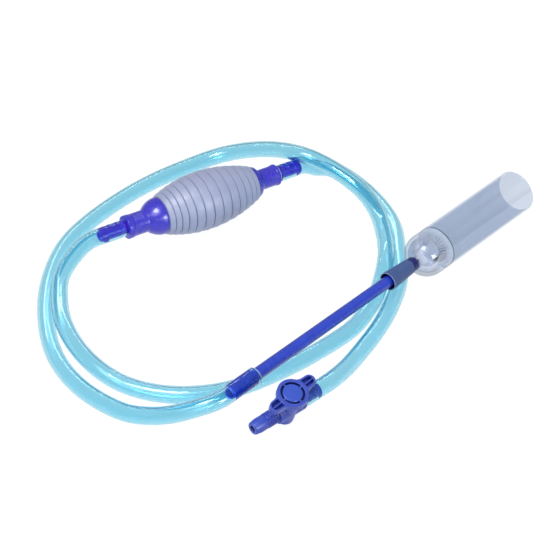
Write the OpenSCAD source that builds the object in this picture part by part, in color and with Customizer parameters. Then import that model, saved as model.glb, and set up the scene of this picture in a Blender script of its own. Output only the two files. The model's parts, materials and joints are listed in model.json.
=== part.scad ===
// Gravel vacuum siphon: a clear gravel tube on a rigid wand, a coiled hose with a priming bulb
// in it, and a quarter-turn shut-off valve on the outlet. It lies coiled up, as it is stored.
// +Z is up, z = 0 is the surface it rests on, and the origin is the centre of its footprint.

/* [Hose] */
// Outside diameter of both hoses
hose_od = 16; // [15:0.5:16]
// Bore of both hoses
hose_bore = 12; // [12:0.1:12.6]
// Longest stretch of hose between two rings of the swept shape
hose_step = 15; // [10:1:20]
// Sides of the swept hose section
hose_sides = 14; // [12:2:18]

/* [Wand] */
// Compass angle of the wand, from its near end to the mouth
wand_azimuth = 48.6; // [48.4:0.1:48.8]
// Fall of the wand towards the mouth, in degrees
wand_dip = 1.2; // [1.1:0.05:1.25]
// Outside diameter of the gravel tube
tube_od = 42; // [40:0.5:43]
// Wall of the gravel tube
tube_wall = 1.5; // [1.2:0.1:1.8]
// Wall of the domed shoulder
dome_wall = 3.5; // [2.2:0.1:3.6]
// Outside diameter of the extension pipe where it enters the hose
pipe_od = 11.9; // [11.5:0.1:11.9]
// Distance from the hose's cut end to the sleeve
pipe_reach = 183; // [175:1:186]
// Length of the soft sleeve that joins the pipe and the head
sleeve_length = 31; // [30:1:34]
// Length of the gravel tube beyond the dome's rim
tube_length = 124; // [90:1:125]
// Slots in the strainer
strainer_slots = 24; // [12:2:28]

/* [Priming bulb] */
// Compass angle of the bulb, from its inlet to its outlet
bulb_azimuth = 33.5; // [33:0.1:34]
// Fall of the bulb towards its outlet, in degrees
bulb_dip = 1.9; // [1.7:0.1:2.1]
// Largest diameter of the bulb
bulb_od = 57.4; // [54:0.2:57.6]
// Length of the ribbed shell
bulb_length = 108; // [104:1:110]
// Stepped ribs along the shell
bulb_ribs = 13; // [8:1:18]
// Height of each stepped rib
rib_step = 1; // [0.4:0.1:1.2]
// Lift of the check valve poppets
poppet_lift = 2.5; // [1:0.5:3]

/* [Shut-off valve] */
// Compass angle of the valve's bore, from outlet to inlet
valve_azimuth = 41; // [38:0.5:42]
// Roll of the valve about its bore as it lies
valve_roll = 20.5; // [18:0.5:21]
// Rise of the valve's bore towards the inlet, in degrees
valve_rise = 2; // [1:0.5:3]
// How far the handle stands from fully open as the valve lies
handle_turn = 6; // [0:1:20]
// Diameter of the valve's ball
ball_d = 13; // [12.6:0.1:13.2]
// Bore through the ball
ball_bore = 7; // [6:0.5:7]
// Length of the handle, tip to tip
handle_length = 53; // [48:1:58]
// Diameter of the handle's hub
hub_d = 28; // [27:0.5:30]

/* [Hidden] */
$fn = 96;

// Radial clearance of everything that fits in something else
fit = 0.05;
hose_r = hose_od / 2;
bore_r = hose_bore / 2;
// Moves the whole layout so that the origin is the centre of the footprint
footprint_shift = [-15.14, 27.09, 0];
up = [0, 0, 1];

// --- Frames of the three straight assemblies -------------------------------------------------
// Each axis is a point and a direction. Local +Z runs along it.
wand_point = [-17.4, -179.4, 29] + footprint_shift;
bulb_point = [-64, 82.8, bulb_od / 2 + 0.1] + footprint_shift;
valve_point = [10.1, -208.2, 16.7] + footprint_shift;

function heading(azimuth, dip) =
    [cos(dip) * cos(azimuth), cos(dip) * sin(azimuth), -sin(dip)];
wand_way = heading(wand_azimuth, wand_dip);
bulb_way = heading(bulb_azimuth, bulb_dip);
valve_way = heading(valve_azimuth, -valve_rise);

module on_wand(s = 0) {
    translate(wand_point) rotate([0, 90 + wand_dip, wand_azimuth]) translate([0, 0, s]) children();
}

module on_bulb(s = 0) {
    translate(bulb_point) rotate([0, 90 + bulb_dip, bulb_azimuth]) translate([0, 0, s]) children();
}

module in_valve() {
    translate(valve_point) rotate([0, -valve_rise, valve_azimuth]) rotate([valve_roll, 0, 0])
        children();
}

// A round body from a profile of [radius, position] points
module turned(profile) {
    rotate_extrude() polygon(profile);
}

// A plain tube between two positions
module ring(r_in, r_out, low, high) {
    translate([0, 0, low]) difference() {
        cylinder(r = r_out, h = high - low);
        translate([0, 0, -1]) cylinder(r = r_in, h = high - low + 2);
    }
}

// --- Hoses -----------------------------------------------------------------------------------
// A hose is swept along a smooth curve through its stations, which starts and ends straight,
// along the fittings that it is pushed over.
socket = 34;
wand_hose_start = wand_point;
wand_hose_in = wand_point - wand_way * (socket + 3);
inlet_barb_tip = -121;
outlet_barb_tip = 104.4;
inlet_flange = -92.6;
outlet_flange = 77.8;
wand_hose_out = bulb_point + bulb_way * (inlet_barb_tip - 4);
wand_hose_end = bulb_point + bulb_way * (inlet_flange - 3);
outlet_hose_start = bulb_point + bulb_way * (outlet_flange + 3);
outlet_hose_in = bulb_point + bulb_way * (outlet_barb_tip + 3);
valve_barb_root = 16;
valve_barb_tip = 36;
outlet_hose_out = valve_point + valve_way * (valve_barb_tip + 3);
outlet_hose_end = valve_point + valve_way * (valve_barb_root + 1);

on_floor = hose_r;
// Two laps of the coil: the outer lap lies on the surface, and the inner lap leans on it
wand_hose_stations = [
    [-66, -217, 25], [-100, -214, 13], [-136, -201, on_floor], [-171, -171, on_floor],
    [-196, -129, on_floor], [-208.5, -77, on_floor], [-210, -18, on_floor],
    [-195.5, 43.5, on_floor], [-155, 104, on_floor], [-102, 154, on_floor], [-53, 176, 14.5],
    [-10, 161.4, 31.6], [25, 136.5, 43], [54, 125.3, 35.2], [80, 108.2, 24.6], [94.5, 83.6, 20],
    [101.2, 57.5, 18.5], [104, 25, 20.3], [103.4, -3, 20.4], [97.2, -30, 11.6],
    [89, -54, on_floor], [71.5, -87, on_floor], [45, -115, on_floor], [9, -145, on_floor],
    [-31, -170, on_floor], [-66, -180, on_floor], [-101, -179, on_floor], [-137, -166, 10],
    [-167, -142, 17], [-188, -104, 20.5], [-197, -60, 20.5], [-195, -20, 22]
];
outlet_hose_stations = [
    [40, 147, 19.6], [54, 151, 15.5], [68, 146.5, 11], [83, 132.5, on_floor],
    [101.3, 101.3, on_floor], [113.2, 67.7, on_floor], [116.3, 30, on_floor],
    [115.6, -20, on_floor], [101, -72, on_floor], [76.5, -122, on_floor]
];

function placed(stations) = [for (p = stations) p + footprint_shift];
function bend(a, b, ta, tb, t) =
    (2 * t * t * t - 3 * t * t + 1) * a + (t * t * t - 2 * t * t + t) * ta
    + (3 * t * t - 2 * t * t * t) * b + (t * t * t - t * t) * tb;
// The tangent at station i, from its neighbours, or the fitting's own direction at an end.
// A station on the surface is level, so that the hose never dips below it.
function tangent(p, i, first, last) =
    i == 0 ? first * norm(p[1] - p[0])
    : i == len(p) - 1 ? last * norm(p[i] - p[i - 1])
    : p[i].z == on_floor ? level(p[i + 1] - p[i - 1]) / 2
    : (p[i + 1] - p[i - 1]) / 2;
function level(v) = [v.x, v.y, 0];
function steps(a, b) = max(2, ceil(norm(b - a) / hose_step));
function curve(p, first, last) = [
    for (i = [0 : len(p) - 2], k = [0 : steps(p[i], p[i + 1]) - 1])
        bend(p[i], p[i + 1], tangent(p, i, first, last), tangent(p, i + 1, first, last),
            k / steps(p[i], p[i + 1])),
    p[len(p) - 1]
];
function unit(v) = v / norm(v);
function direction(p, i) = unit(p[min(i + 1, len(p) - 1)] - p[max(i - 1, 0)]);
// One ring of points, whose first point is the lowest
function section(p, i, r) =
    let (t = direction(p, i), side = unit(cross(t, up)), top = cross(side, t))
    [for (k = [0 : hose_sides - 1]) let (a = 360 * k / hose_sides)
        p[i] + r * (sin(a) * side - cos(a) * top)];

// The swept hose. Its bore is drawn round the true bore, so that the fittings stay clear of it.
module hose(p) {
    n = hose_sides;
    last = len(p) - 1;
    drawn_bore = bore_r / cos(180 / n);
    points = [
        for (i = [0 : last]) each section(p, i, hose_r),
        for (i = [0 : last]) each section(p, i, drawn_bore)
    ];
    inner = (last + 1) * n;
    function at(i, k) = i * n + k % n;
    faces = [
        for (i = [0 : last - 1], k = [0 : n - 1]) each [
            [at(i, k), at(i, k + 1), at(i + 1, k)],
            [at(i, k + 1), at(i + 1, k + 1), at(i + 1, k)],
            [inner + at(i, k), inner + at(i + 1, k), inner + at(i, k + 1)],
            [inner + at(i, k + 1), inner + at(i + 1, k), inner + at(i + 1, k + 1)]
        ],
        for (k = [0 : n - 1]) each [
            [at(0, k), inner + at(0, k), at(0, k + 1)],
            [at(0, k + 1), inner + at(0, k), inner + at(0, k + 1)],
            [at(last, k), at(last, k + 1), inner + at(last, k)],
            [at(last, k + 1), inner + at(last, k + 1), inner + at(last, k)]
        ]
    ];
    polyhedron(points, faces, convexity = 10);
}

// From the wand's near end, round nearly two laps of the coil, to the bulb's inlet
module wand_hose() {
    bends = curve(concat([wand_hose_in], placed(wand_hose_stations), [wand_hose_out]),
        -wand_way, bulb_way);
    color([0.5, 0.82, 0.92, 0.5]) hose(concat([wand_hose_start], bends, [wand_hose_end]));
}

// From the bulb's outlet, round the right side of the coil, to the valve
module outlet_hose() {
    bends = curve(concat([outlet_hose_in], placed(outlet_hose_stations), [outlet_hose_out]),
        bulb_way, -valve_way);
    color([0.5, 0.82, 0.92, 0.5]) hose(concat([outlet_hose_start], bends, [outlet_hose_end]));
}

// --- Wand ------------------------------------------------------------------------------------
// Positions along the wand, from the hose's cut end at 0
tube_r = tube_od / 2;
tube_in = tube_r - tube_wall;
pipe_r = pipe_od / 2;
pipe_bore = 4.3;
pipe_tip_r = 5.6;
sleeve_end = pipe_reach + sleeve_length;
pipe_end = pipe_reach + 15;
nipple_end = sleeve_end + 7;
neck_r = 8;
// The dome is half a sphere, cut off where the neck leaves it
dome_middle = nipple_end + sqrt(tube_r * tube_r - neck_r * neck_r) + 0.2;
dome_rim = dome_middle + 15;
mouth = dome_rim + tube_length;
spigot_length = 12;
ledge = 1;
dome_in = tube_r - dome_wall;

module extension_pipe() {
    near_land = -socket;
    color([0.16, 0.24, 0.82, 0.85]) on_wand() turned([
        [pipe_bore, near_land], [pipe_r - 0.8, near_land], [pipe_r, near_land + 1.5], [pipe_r, 2],
        [pipe_tip_r, pipe_reach - 2], [pipe_tip_r, pipe_end - 0.8], [pipe_tip_r - 0.8, pipe_end],
        [pipe_bore, pipe_end]
    ]);
}

// A soft sleeve: the pipe turns in its near half, and the nipple is pushed into its far half
module neck_sleeve() {
    near_r = 9;
    far_r = 7.3;
    entry_r = 8.2;
    entry = pipe_reach + 6;
    web = pipe_end + 0.6;
    crease = pipe_reach + sleeve_length / 2;
    crease_r = (near_r + far_r) / 2;
    color([0.3, 0.41, 0.62]) on_wand() turned([
        [entry_r, pipe_reach], [near_r - 0.3, pipe_reach], [near_r, pipe_reach + 0.5],
        [crease_r + 0.1, crease - 0.6], [crease_r - 0.2, crease], [crease_r, crease + 0.6],
        [far_r, sleeve_end - 0.4], [far_r - 0.4, sleeve_end],
        [nipple_barb_r + fit, sleeve_end], [nipple_barb_r + fit, web + 1.6], [pipe_bore, web + 1.6],
        [pipe_bore, web], [pipe_tip_r + fit, web], [pipe_tip_r + fit, entry], [entry_r, entry - 3]
    ]);
}

nipple_barb_r = 5.4;
nipple_spigot_r = 5;
module neck_nipple() {
    collar_r = 6.8;
    bore = 3.6;
    barb = pipe_end + 3;
    spigot = nipple_end + 3.6;
    color([0.12, 0.16, 0.52]) on_wand() turned([
        [bore, barb], [nipple_barb_r - 0.8, barb], [nipple_barb_r, barb + 3],
        [nipple_barb_r - 0.4, barb + 3], [nipple_barb_r, barb + 6], [nipple_barb_r - 0.4, barb + 6],
        [nipple_barb_r - 0.4, sleeve_end + 0.2], [collar_r - 0.3, sleeve_end + 0.2],
        [collar_r, sleeve_end + 0.6], [collar_r, nipple_end - 0.5], [collar_r - 0.3, nipple_end],
        [nipple_spigot_r, nipple_end], [nipple_spigot_r, spigot], [bore, spigot]
    ]);
}

// The clear shoulder of the head, with a neck for the nipple and a spigot for the tube
module tube_dome() {
    neck = nipple_end + 0.2;
    neck_in = nipple_spigot_r + fit;
    boss_end = nipple_end + 4.5;
    r_in = dome_in;
    spigot_r = tube_in - fit;
    outside_from = acos(neck_r / tube_r);
    inside_from = acos((neck_in + 1.6) / r_in);
    profile = concat(
        [[neck_in, neck], [neck_r, neck]],
        [for (a = [outside_from : -outside_from / 16 : 0])
            [tube_r * cos(a), dome_middle - tube_r * sin(a)]],
        [[tube_r, dome_rim - 0.4], [tube_r - 0.4, dome_rim], [spigot_r, dome_rim],
            [spigot_r, dome_rim + spigot_length - 0.8], [spigot_r - 0.5, dome_rim + spigot_length],
            [r_in - 0.6, dome_rim + spigot_length], [r_in - 0.6, dome_rim - ledge],
            [r_in, dome_rim - ledge]],
        [for (a = [0 : inside_from / 16 : inside_from]) [r_in * cos(a), dome_middle - r_in * sin(a)]],
        [[neck_in + 1.6, boss_end], [neck_in, boss_end]]
    );
    color([0.75, 0.78, 0.84, 0.4]) on_wand() turned(profile);
}

// A slotted cone that keeps the gravel out of the wand
module strainer() {
    r = dome_in - 0.1;
    seat = dome_rim - ledge - 2;
    hub_r = 4;
    rise = 5;
    slot_from = 6;
    slot_to = 14.5;
    color([0.85, 0.87, 0.9, 0.6]) on_wand() difference() {
        turned([
            [0, seat - rise], [hub_r, seat - rise], [slot_to + 0.8, seat], [r, seat], [r, seat + 1.6],
            [slot_to + 0.4, seat + 1.6], [hub_r - 0.5, seat - rise + 1.8], [0, seat - rise + 1.8]
        ]);
        for (k = [0 : strainer_slots - 1])
            rotate([0, 0, 360 * k / strainer_slots])
                translate([slot_from, -0.5, seat - rise - 1]) cube([slot_to - slot_from, 1, rise + 4]);
    }
}

// The wide clear tube that is pushed into the gravel
module gravel_tube() {
    start = dome_rim + 0.2;
    color([0.62, 0.67, 0.76, 0.4]) on_wand() turned([
        [tube_in, start], [tube_r - 0.3, start], [tube_r, start + 0.3], [tube_r, mouth - 0.4],
        [tube_r - 0.4, mouth], [tube_in, mouth]
    ]);
}

// --- Priming bulb ----------------------------------------------------------------------------
// Positions along the bulb, from its middle at 0
bulb_r = bulb_od / 2;
bulb_end = bulb_length / 2;
bulb_widest = -6;
inlet_r = 19.3;
outlet_r = 15.3;
shell_wall = 2.2;
inlet_socket_r = 16.4;
outlet_socket_r = 13;
socket_depth = 8;
chamber_r = 7.5;

// Radius of the smooth bulb, which narrows more towards its outlet
function bulb_radius(s) = s < bulb_widest
    ? bulb_r - (bulb_r - inlet_r) * pow((bulb_widest - s) / (bulb_widest + bulb_end), 2)
    : bulb_r - (bulb_r - outlet_r) * pow((s - bulb_widest) / (bulb_end - bulb_widest), 2);

// Where rib number k starts: the ribs are widest at the bulb's middle
function rib_edge(k) = let (t = k / (bulb_ribs + 1))
    -bulb_end + bulb_length * (t - 0.0525 * sin(360 * t));
// The shell stops short of the smooth curve's end, and the outlet's cone carries its line on
shell_end = rib_edge(bulb_ribs);

module bulb_shell() {
    inlet_inside = -bulb_end + socket_depth;
    outlet_inside = shell_end - socket_depth;
    // Each rib is a shingle: it starts low and ends a step high
    outline = [for (k = [0 : bulb_ribs - 1]) let (s = rib_edge(k), pitch = rib_edge(k + 1) - s) each [
        [bulb_radius(s) - rib_step, s],
        [bulb_radius(s + pitch / 2) - rib_step * 0.3, s + pitch / 2],
        [bulb_radius(s + pitch * 0.92), s + pitch * 0.92],
        [bulb_radius(s + pitch) - rib_step * 0.6, s + pitch]
    ]];
    cavity = [for (k = [12 : -1 : 0]) let (s = inlet_inside + (outlet_inside - inlet_inside) * k / 12)
        [bulb_radius(s) - shell_wall - rib_step, s]];
    color([0.69, 0.71, 0.82]) on_bulb() turned(concat(
        outline,
        [[outlet_socket_r, shell_end], [outlet_socket_r, outlet_inside]],
        cavity,
        [[inlet_socket_r, inlet_inside], [inlet_socket_r, -bulb_end]]
    ));
}

// Three ridges of a hose barb, as profile points that run from the tip (t = 0) to the root.
// way is +1 when the root lies further along the axis than the tip.
barb_r = bore_r - fit;
function barb(tip, root, way) = let (pitch = abs(root - tip) / 4) concat(
    [[barb_r - 1.2, tip], [barb_r - 0.9, tip + way * 0.4]],
    [for (k = [0 : 2]) each [
        [barb_r, tip + way * (k + 0.95) * pitch],
        [barb_r - 0.7, tip + way * ((k + 0.95) * pitch + 0.3)]
    ]],
    [[barb_r - 0.3, tip + way * 3.6 * pitch], [barb_r - 0.3, root]]
);
function reversed(list) = [for (i = [len(list) - 1 : -1 : 0]) list[i]];
barb_bore = 3.6;

inlet_neck_r = 10.9;
module inlet_fitting() {
    face = -bulb_end - 0.2;
    flange_r = 11.5;
    cone_length = 17;
    cone_root = face - cone_length;
    spigot = -bulb_end + socket_depth - 0.4;
    spigot_r = inlet_socket_r - fit;
    groove = -bulb_end + 3;
    grips = 6;
    grip_pitch = 1.9;
    // Fine rings round the neck, for grip
    knurl = [for (k = [0 : grips - 1]) let (s = inlet_flange + 6 + k * grip_pitch) each [
        [inlet_neck_r, s], [inlet_neck_r + 0.35, s + 0.5], [inlet_neck_r + 0.35, s + 0.9],
        [inlet_neck_r, s + 1.4]
    ]];
    cone = [for (k = [0 : 8]) let (t = k / 8)
        [inlet_neck_r + (inlet_r - rib_step - inlet_neck_r) * (1 - pow(1 - t, 2.2)),
            cone_root + t * cone_length]];
    color([0.27, 0.24, 0.8]) on_bulb() turned(concat(
        [[barb_bore, inlet_barb_tip]], barb(inlet_barb_tip, inlet_flange, 1),
        [[flange_r - 0.4, inlet_flange], [flange_r, inlet_flange + 0.4], [flange_r, inlet_flange + 3],
            [flange_r - 0.4, inlet_flange + 3.4], [inlet_neck_r, inlet_flange + 4]],
        knurl, cone,
        [[spigot_r, face], [spigot_r, groove], [spigot_r - 1.5, groove], [spigot_r - 1.5, groove + 2],
            [spigot_r, groove + 2], [spigot_r, spigot], [chamber_r, spigot],
            [chamber_r, inlet_chamber], [barb_bore, inlet_chamber]]
    ));
}

outlet_neck_r = 10;
module outlet_fitting() {
    face = shell_end + 0.2;
    flange_r = 10.6;
    spigot = shell_end - socket_depth + 0.4;
    spigot_r = outlet_socket_r - fit;
    groove = shell_end - 5;
    // The cone goes on with the bulb's curve, then turns in to the neck
    cone_r = outlet_r - rib_step * 0.6;
    flare = [for (k = [0 : 3]) let (s = face + (bulb_end - face) * k / 3)
        [bulb_radius(s) - rib_step * 0.6, s]];
    turn_in = [for (k = [1 : 6]) let (t = k / 6)
        [cone_r - (cone_r - outlet_neck_r) * sin(90 * t), bulb_end + t * 5]];
    color([0.27, 0.24, 0.8]) on_bulb() turned(concat(
        [[chamber_r, spigot], [spigot_r, spigot], [spigot_r, groove], [spigot_r - 1.5, groove],
            [spigot_r - 1.5, groove + 2], [spigot_r, groove + 2], [spigot_r, face]],
        flare, turn_in,
        [[outlet_neck_r, outlet_flange - 3], [flange_r, outlet_flange - 2.6],
            [flange_r, outlet_flange - 0.4], [flange_r - 0.4, outlet_flange]],
        reversed(barb(outlet_barb_tip, outlet_flange, -1)),
        [[barb_bore, outlet_barb_tip], [barb_bore, outlet_chamber], [chamber_r, outlet_chamber]]
    ));
}

// Square-section sealing rings on the spigots
module inlet_gasket() {
    color([0.1, 0.1, 0.11]) on_bulb()
        ring(inlet_socket_r - 1.5, inlet_socket_r - fit, -bulb_end + 3.05, -bulb_end + 4.95);
}

module outlet_gasket() {
    color([0.1, 0.1, 0.11]) on_bulb()
        ring(outlet_socket_r - 1.5, outlet_socket_r - fit, shell_end - 4.95, shell_end - 3.05);
}

// --- Check valves in the bulb's two fittings ---------------------------------------------------
// Both open towards the outlet. Each has a rubber seat, a poppet and a spoked guide for its stem.
inlet_chamber = inlet_flange + 4;
outlet_chamber = outlet_flange - 3;
seat_t = 2;
poppet_r = 5.6;
poppet_t = 1.4;
stem_r = 1.4;
guide_t = 5;
stem_length = 10;
inlet_seat_at = inlet_chamber + 0.1;
outlet_seat_at = outlet_chamber - seat_t - poppet_t - poppet_lift - guide_t - 1.2;

module check_seat(at) {
    on_bulb(at) ring(4, chamber_r - fit, 0, seat_t);
}

module check_poppet(at) {
    on_bulb(at + seat_t + 0.05) turned([
        [0, 0], [poppet_r - 0.4, 0], [poppet_r, 0.4], [poppet_r, poppet_t], [stem_r, poppet_t],
        [stem_r, poppet_t + stem_length], [0, poppet_t + stem_length]
    ]);
}

module check_guide(at) {
    hub_r = 2.8;
    rim_r = 6.2;
    start = seat_t + poppet_t + poppet_lift + 0.6;
    on_bulb(at + start) difference() {
        cylinder(r = chamber_r - fit, h = guide_t);
        translate([0, 0, -1]) difference() {
            cylinder(r = rim_r, h = guide_t + 2);
            cylinder(r = hub_r, h = guide_t + 2);
            for (k = [0 : 2])
                rotate([0, 0, 120 * k]) translate([0, -0.7, 0]) cube([rim_r + 0.5, 1.4, guide_t + 2]);
        }
        translate([0, 0, -1]) cylinder(r = stem_r + fit, h = guide_t + 2);
    }
}

module inlet_valve_seat() {
    color([0.12, 0.12, 0.13]) check_seat(inlet_seat_at);
}

module inlet_poppet() {
    color([0.9, 0.9, 0.92]) check_poppet(inlet_seat_at);
}

module inlet_poppet_guide() {
    color([0.8, 0.82, 0.85]) check_guide(inlet_seat_at);
}

module outlet_valve_seat() {
    color([0.12, 0.12, 0.13]) check_seat(outlet_seat_at);
}

module outlet_poppet() {
    color([0.9, 0.9, 0.92]) check_poppet(outlet_seat_at);
}

module outlet_poppet_guide() {
    color([0.8, 0.82, 0.85]) check_guide(outlet_seat_at);
}

// --- Shut-off valve ----------------------------------------------------------------------------
// Local X is the bore, from outlet to inlet, and local Z is the stem
ball_r = ball_d / 2;
flow_r = ball_bore / 2;
barrel_r = 8.9;
barrel_end = 13;
cavity_r = 7.2;
boss_r = 9.2;
boss_low = -14;
boss_top = 16.6;
seat_out = 8.4;
stem_shaft_r = 3.4;
stem_top = 21.4;
handle_low = 19.4;
handle_top = 25.6;
nose_r = 6.8;
nose_root = -26;
nose_land = -33;
outlet_tip = -39;

// The ball, stem and handle stand a little short of fully open
module turned_to_rest() {
    rotate([0, 0, handle_turn]) children();
}

module along_bore() {
    rotate([0, 90, 0]) children();
}

module valve_body() {
    blue = [0.27, 0.37, 0.8];
    ribs = 5;
    rib_pitch = 2.2;
    color(blue) in_valve() difference() {
        union() {
            along_bore() translate([0, 0, -barrel_end]) cylinder(r = barrel_r, h = 2 * barrel_end);
            translate([0, 0, boss_low]) cylinder(r = boss_r, h = boss_top - boss_low);
            along_bore() turned(concat(
                [[0, outlet_tip], [nose_r - 1.2, outlet_tip], [nose_r - 0.9, outlet_tip + 0.5],
                    [nose_r, nose_land], [nose_r, nose_root]],
                [for (k = [0 : ribs - 1]) let (s = nose_root + 0.6 + k * rib_pitch) each [
                    [nose_r - 0.6, s], [nose_r - 0.6, s + 0.9], [nose_r + 0.3, s + 1.1],
                    [nose_r + 0.3, s + 1.7]
                ]],
                [[nose_r - 0.6, -barrel_end - 1], [nose_r - 0.6, 0], [0, 0]]
            ));
        }
        along_bore() translate([0, 0, -seat_out - 0.1]) cylinder(r = cavity_r, h = 40);
        along_bore() translate([0, 0, outlet_tip - 1]) cylinder(r = flow_r - 0.6, h = 60);
        cylinder(r = stem_shaft_r + fit, h = boss_top + 1);
    }
}

// The screwed-in end that lets the ball in: its plug holds the seats, and its barb takes the hose
module valve_end_piece() {
    flange = barrel_end + 0.1;
    plug = seat_out + 0.1;
    color([0.27, 0.37, 0.8]) in_valve() along_bore() turned(concat(
        [[flow_r, plug], [cavity_r - fit, plug], [cavity_r - fit, flange], [barrel_r - 0.3, flange],
            [barrel_r, flange + 0.3], [barrel_r, valve_barb_root - 0.6],
            [barrel_r - 0.4, valve_barb_root - 0.2]],
        reversed(barb(valve_barb_tip, valve_barb_root - 0.2, -1)),
        [[barb_bore, valve_barb_tip], [barb_bore, valve_barb_root], [flow_r, valve_barb_root - 2]]
    ));
}

module valve_ball() {
    slot_w = 3;
    slot_floor = 4.4;
    color([0.9, 0.9, 0.9]) in_valve() turned_to_rest() difference() {
        sphere(r = ball_r);
        along_bore() translate([0, 0, -ball_r - 1]) cylinder(r = flow_r, h = ball_d + 2);
        translate([-ball_r, -slot_w / 2, slot_floor]) cube([ball_d, slot_w, ball_r]);
    }
}

// A soft ring on each side of the ball
module ball_seats() {
    color([0.95, 0.95, 0.93]) in_valve() difference() {
        for (side = [-1, 1]) rotate([0, side * 90, 0]) ring(flow_r + 0.1, cavity_r - fit, 4, seat_out);
        sphere(r = ball_r + fit);
    }
}

module valve_stem() {
    tang_w = 2.9;
    tang_low = 4.5;
    tang_r = 3.2;
    groove_low = 9.6;
    groove_high = 11.6;
    groove_r = 2.5;
    square = 4.6;
    color([0.27, 0.37, 0.8]) in_valve() turned_to_rest() difference() {
        union() {
            intersection() {
                translate([0, 0, tang_low]) cylinder(r = tang_r, h = ball_r + 0.6 - tang_low);
                translate([-tang_r, -tang_w / 2, 0]) cube([2 * tang_r, tang_w, ball_r + 1]);
            }
            turned([
                [0, ball_r + 0.3], [stem_shaft_r, ball_r + 0.3], [stem_shaft_r, groove_low],
                [groove_r, groove_low], [groove_r, groove_high], [stem_shaft_r, groove_high],
                [stem_shaft_r, handle_low - 0.1], [0, handle_low - 0.1]
            ]);
            translate([-square / 2, -square / 2, handle_low - 0.2])
                cube([square, square, stem_top - handle_low + 0.2]);
        }
        translate([0, 0, stem_top - 6]) cylinder(r = screw_r + fit, h = 7);
    }
}

module stem_seal() {
    color([0.08, 0.08, 0.09]) in_valve() ring(2.55, stem_shaft_r - 0.02, 9.65, 11.55);
}

// A ring on top of the body that keeps the stem down and carries the handle
module stem_bonnet() {
    color([0.2, 0.28, 0.68]) in_valve() ring(stem_shaft_r + fit, 8, boss_top + 0.1, handle_low - 0.4);
}

screw_r = 1.3;
cap_r = 9.1;
cap_recess_r = 10.9;
recess_floor = 22;

// Half of the handle's outline in plan: a tapering wing with a round tip
wing_root = 6.8;
wing_tip_r = 5.4;
module wing_outline(margin) {
    tip_x = handle_length / 2 - wing_tip_r;
    polygon([
        [0, -wing_root + margin], [tip_x, -wing_tip_r + margin], [tip_x, wing_tip_r - margin],
        [0, wing_root - margin]
    ]);
    translate([tip_x, 0]) circle(r = wing_tip_r - margin);
}

// The butterfly handle: a round hub with two wings, each with two pockets beside a rib
module valve_handle() {
    hub_r = hub_d / 2;
    rib_t = 1.5;
    lip = 1.7;
    pocket_floor = 20.8;
    under = 1;
    square = 4.6 + 2 * fit;
    color([0.25, 0.34, 0.8]) in_valve() turned_to_rest() difference() {
        translate([0, 0, handle_low]) linear_extrude(handle_top - handle_low) union() {
            circle(r = hub_r);
            for (side = [0, 180]) rotate(side) wing_outline(0);
        }
        // Pockets from above, on both sides of each wing's rib
        for (side = [0, 180]) rotate([0, 0, side]) translate([0, 0, pocket_floor])
            linear_extrude(handle_top) difference() {
                wing_outline(lip);
                circle(r = hub_r + 0.4);
                translate([0, -rib_t / 2]) square([handle_length, rib_t]);
            }
        // Recess for the cap, then the stem's square and the screw
        translate([0, 0, recess_floor]) cylinder(r = cap_recess_r, h = 10);
        translate([-square / 2, -square / 2, handle_low - 1]) cube([square, square, 20]);
        // The hub is hollow underneath, round a boss for the stem
        translate([0, 0, handle_low - 1]) difference() {
            cylinder(r = hub_r - 2, h = 1 + under);
            cylinder(r = 8.5, h = 1 + under);
        }
    }
}

module handle_screw() {
    head_r = 3.6;
    color([0.75, 0.76, 0.78]) in_valve() turned([
        [0, stem_top - 5.5], [screw_r, stem_top - 5.5], [screw_r, recess_floor + 0.05],
        [head_r, recess_floor + 0.05], [head_r, recess_floor + 0.9], [head_r - 0.9, recess_floor + 1.5],
        [0, recess_floor + 1.5]
    ]);
}

// The round cap that covers the screw
module handle_cap() {
    rim = recess_floor + 0.05;
    crown = handle_top - 0.2;
    color([0.27, 0.37, 0.82]) in_valve() turned([
        [4.2, rim], [cap_r, rim], [cap_r, crown - 0.5], [cap_r - 0.5, crown], [0, crown + 0.3],
        [0, recess_floor + 1.7], [4.2, recess_floor + 1.7]
    ]);
}

gravel_tube();
tube_dome();
strainer();
neck_nipple();
neck_sleeve();
extension_pipe();
wand_hose();
outlet_hose();
bulb_shell();
inlet_fitting();
outlet_fitting();
inlet_gasket();
outlet_gasket();
inlet_valve_seat();
inlet_poppet();
inlet_poppet_guide();
outlet_valve_seat();
outlet_poppet();
outlet_poppet_guide();
valve_body();
valve_end_piece();
valve_ball();
ball_seats();
valve_stem();
stem_seal();
stem_bonnet();
valve_handle();
handle_screw();
handle_cap();
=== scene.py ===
import json
import math

import bmesh
import bpy
import numpy as np
from mathutils import Matrix, Vector


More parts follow.
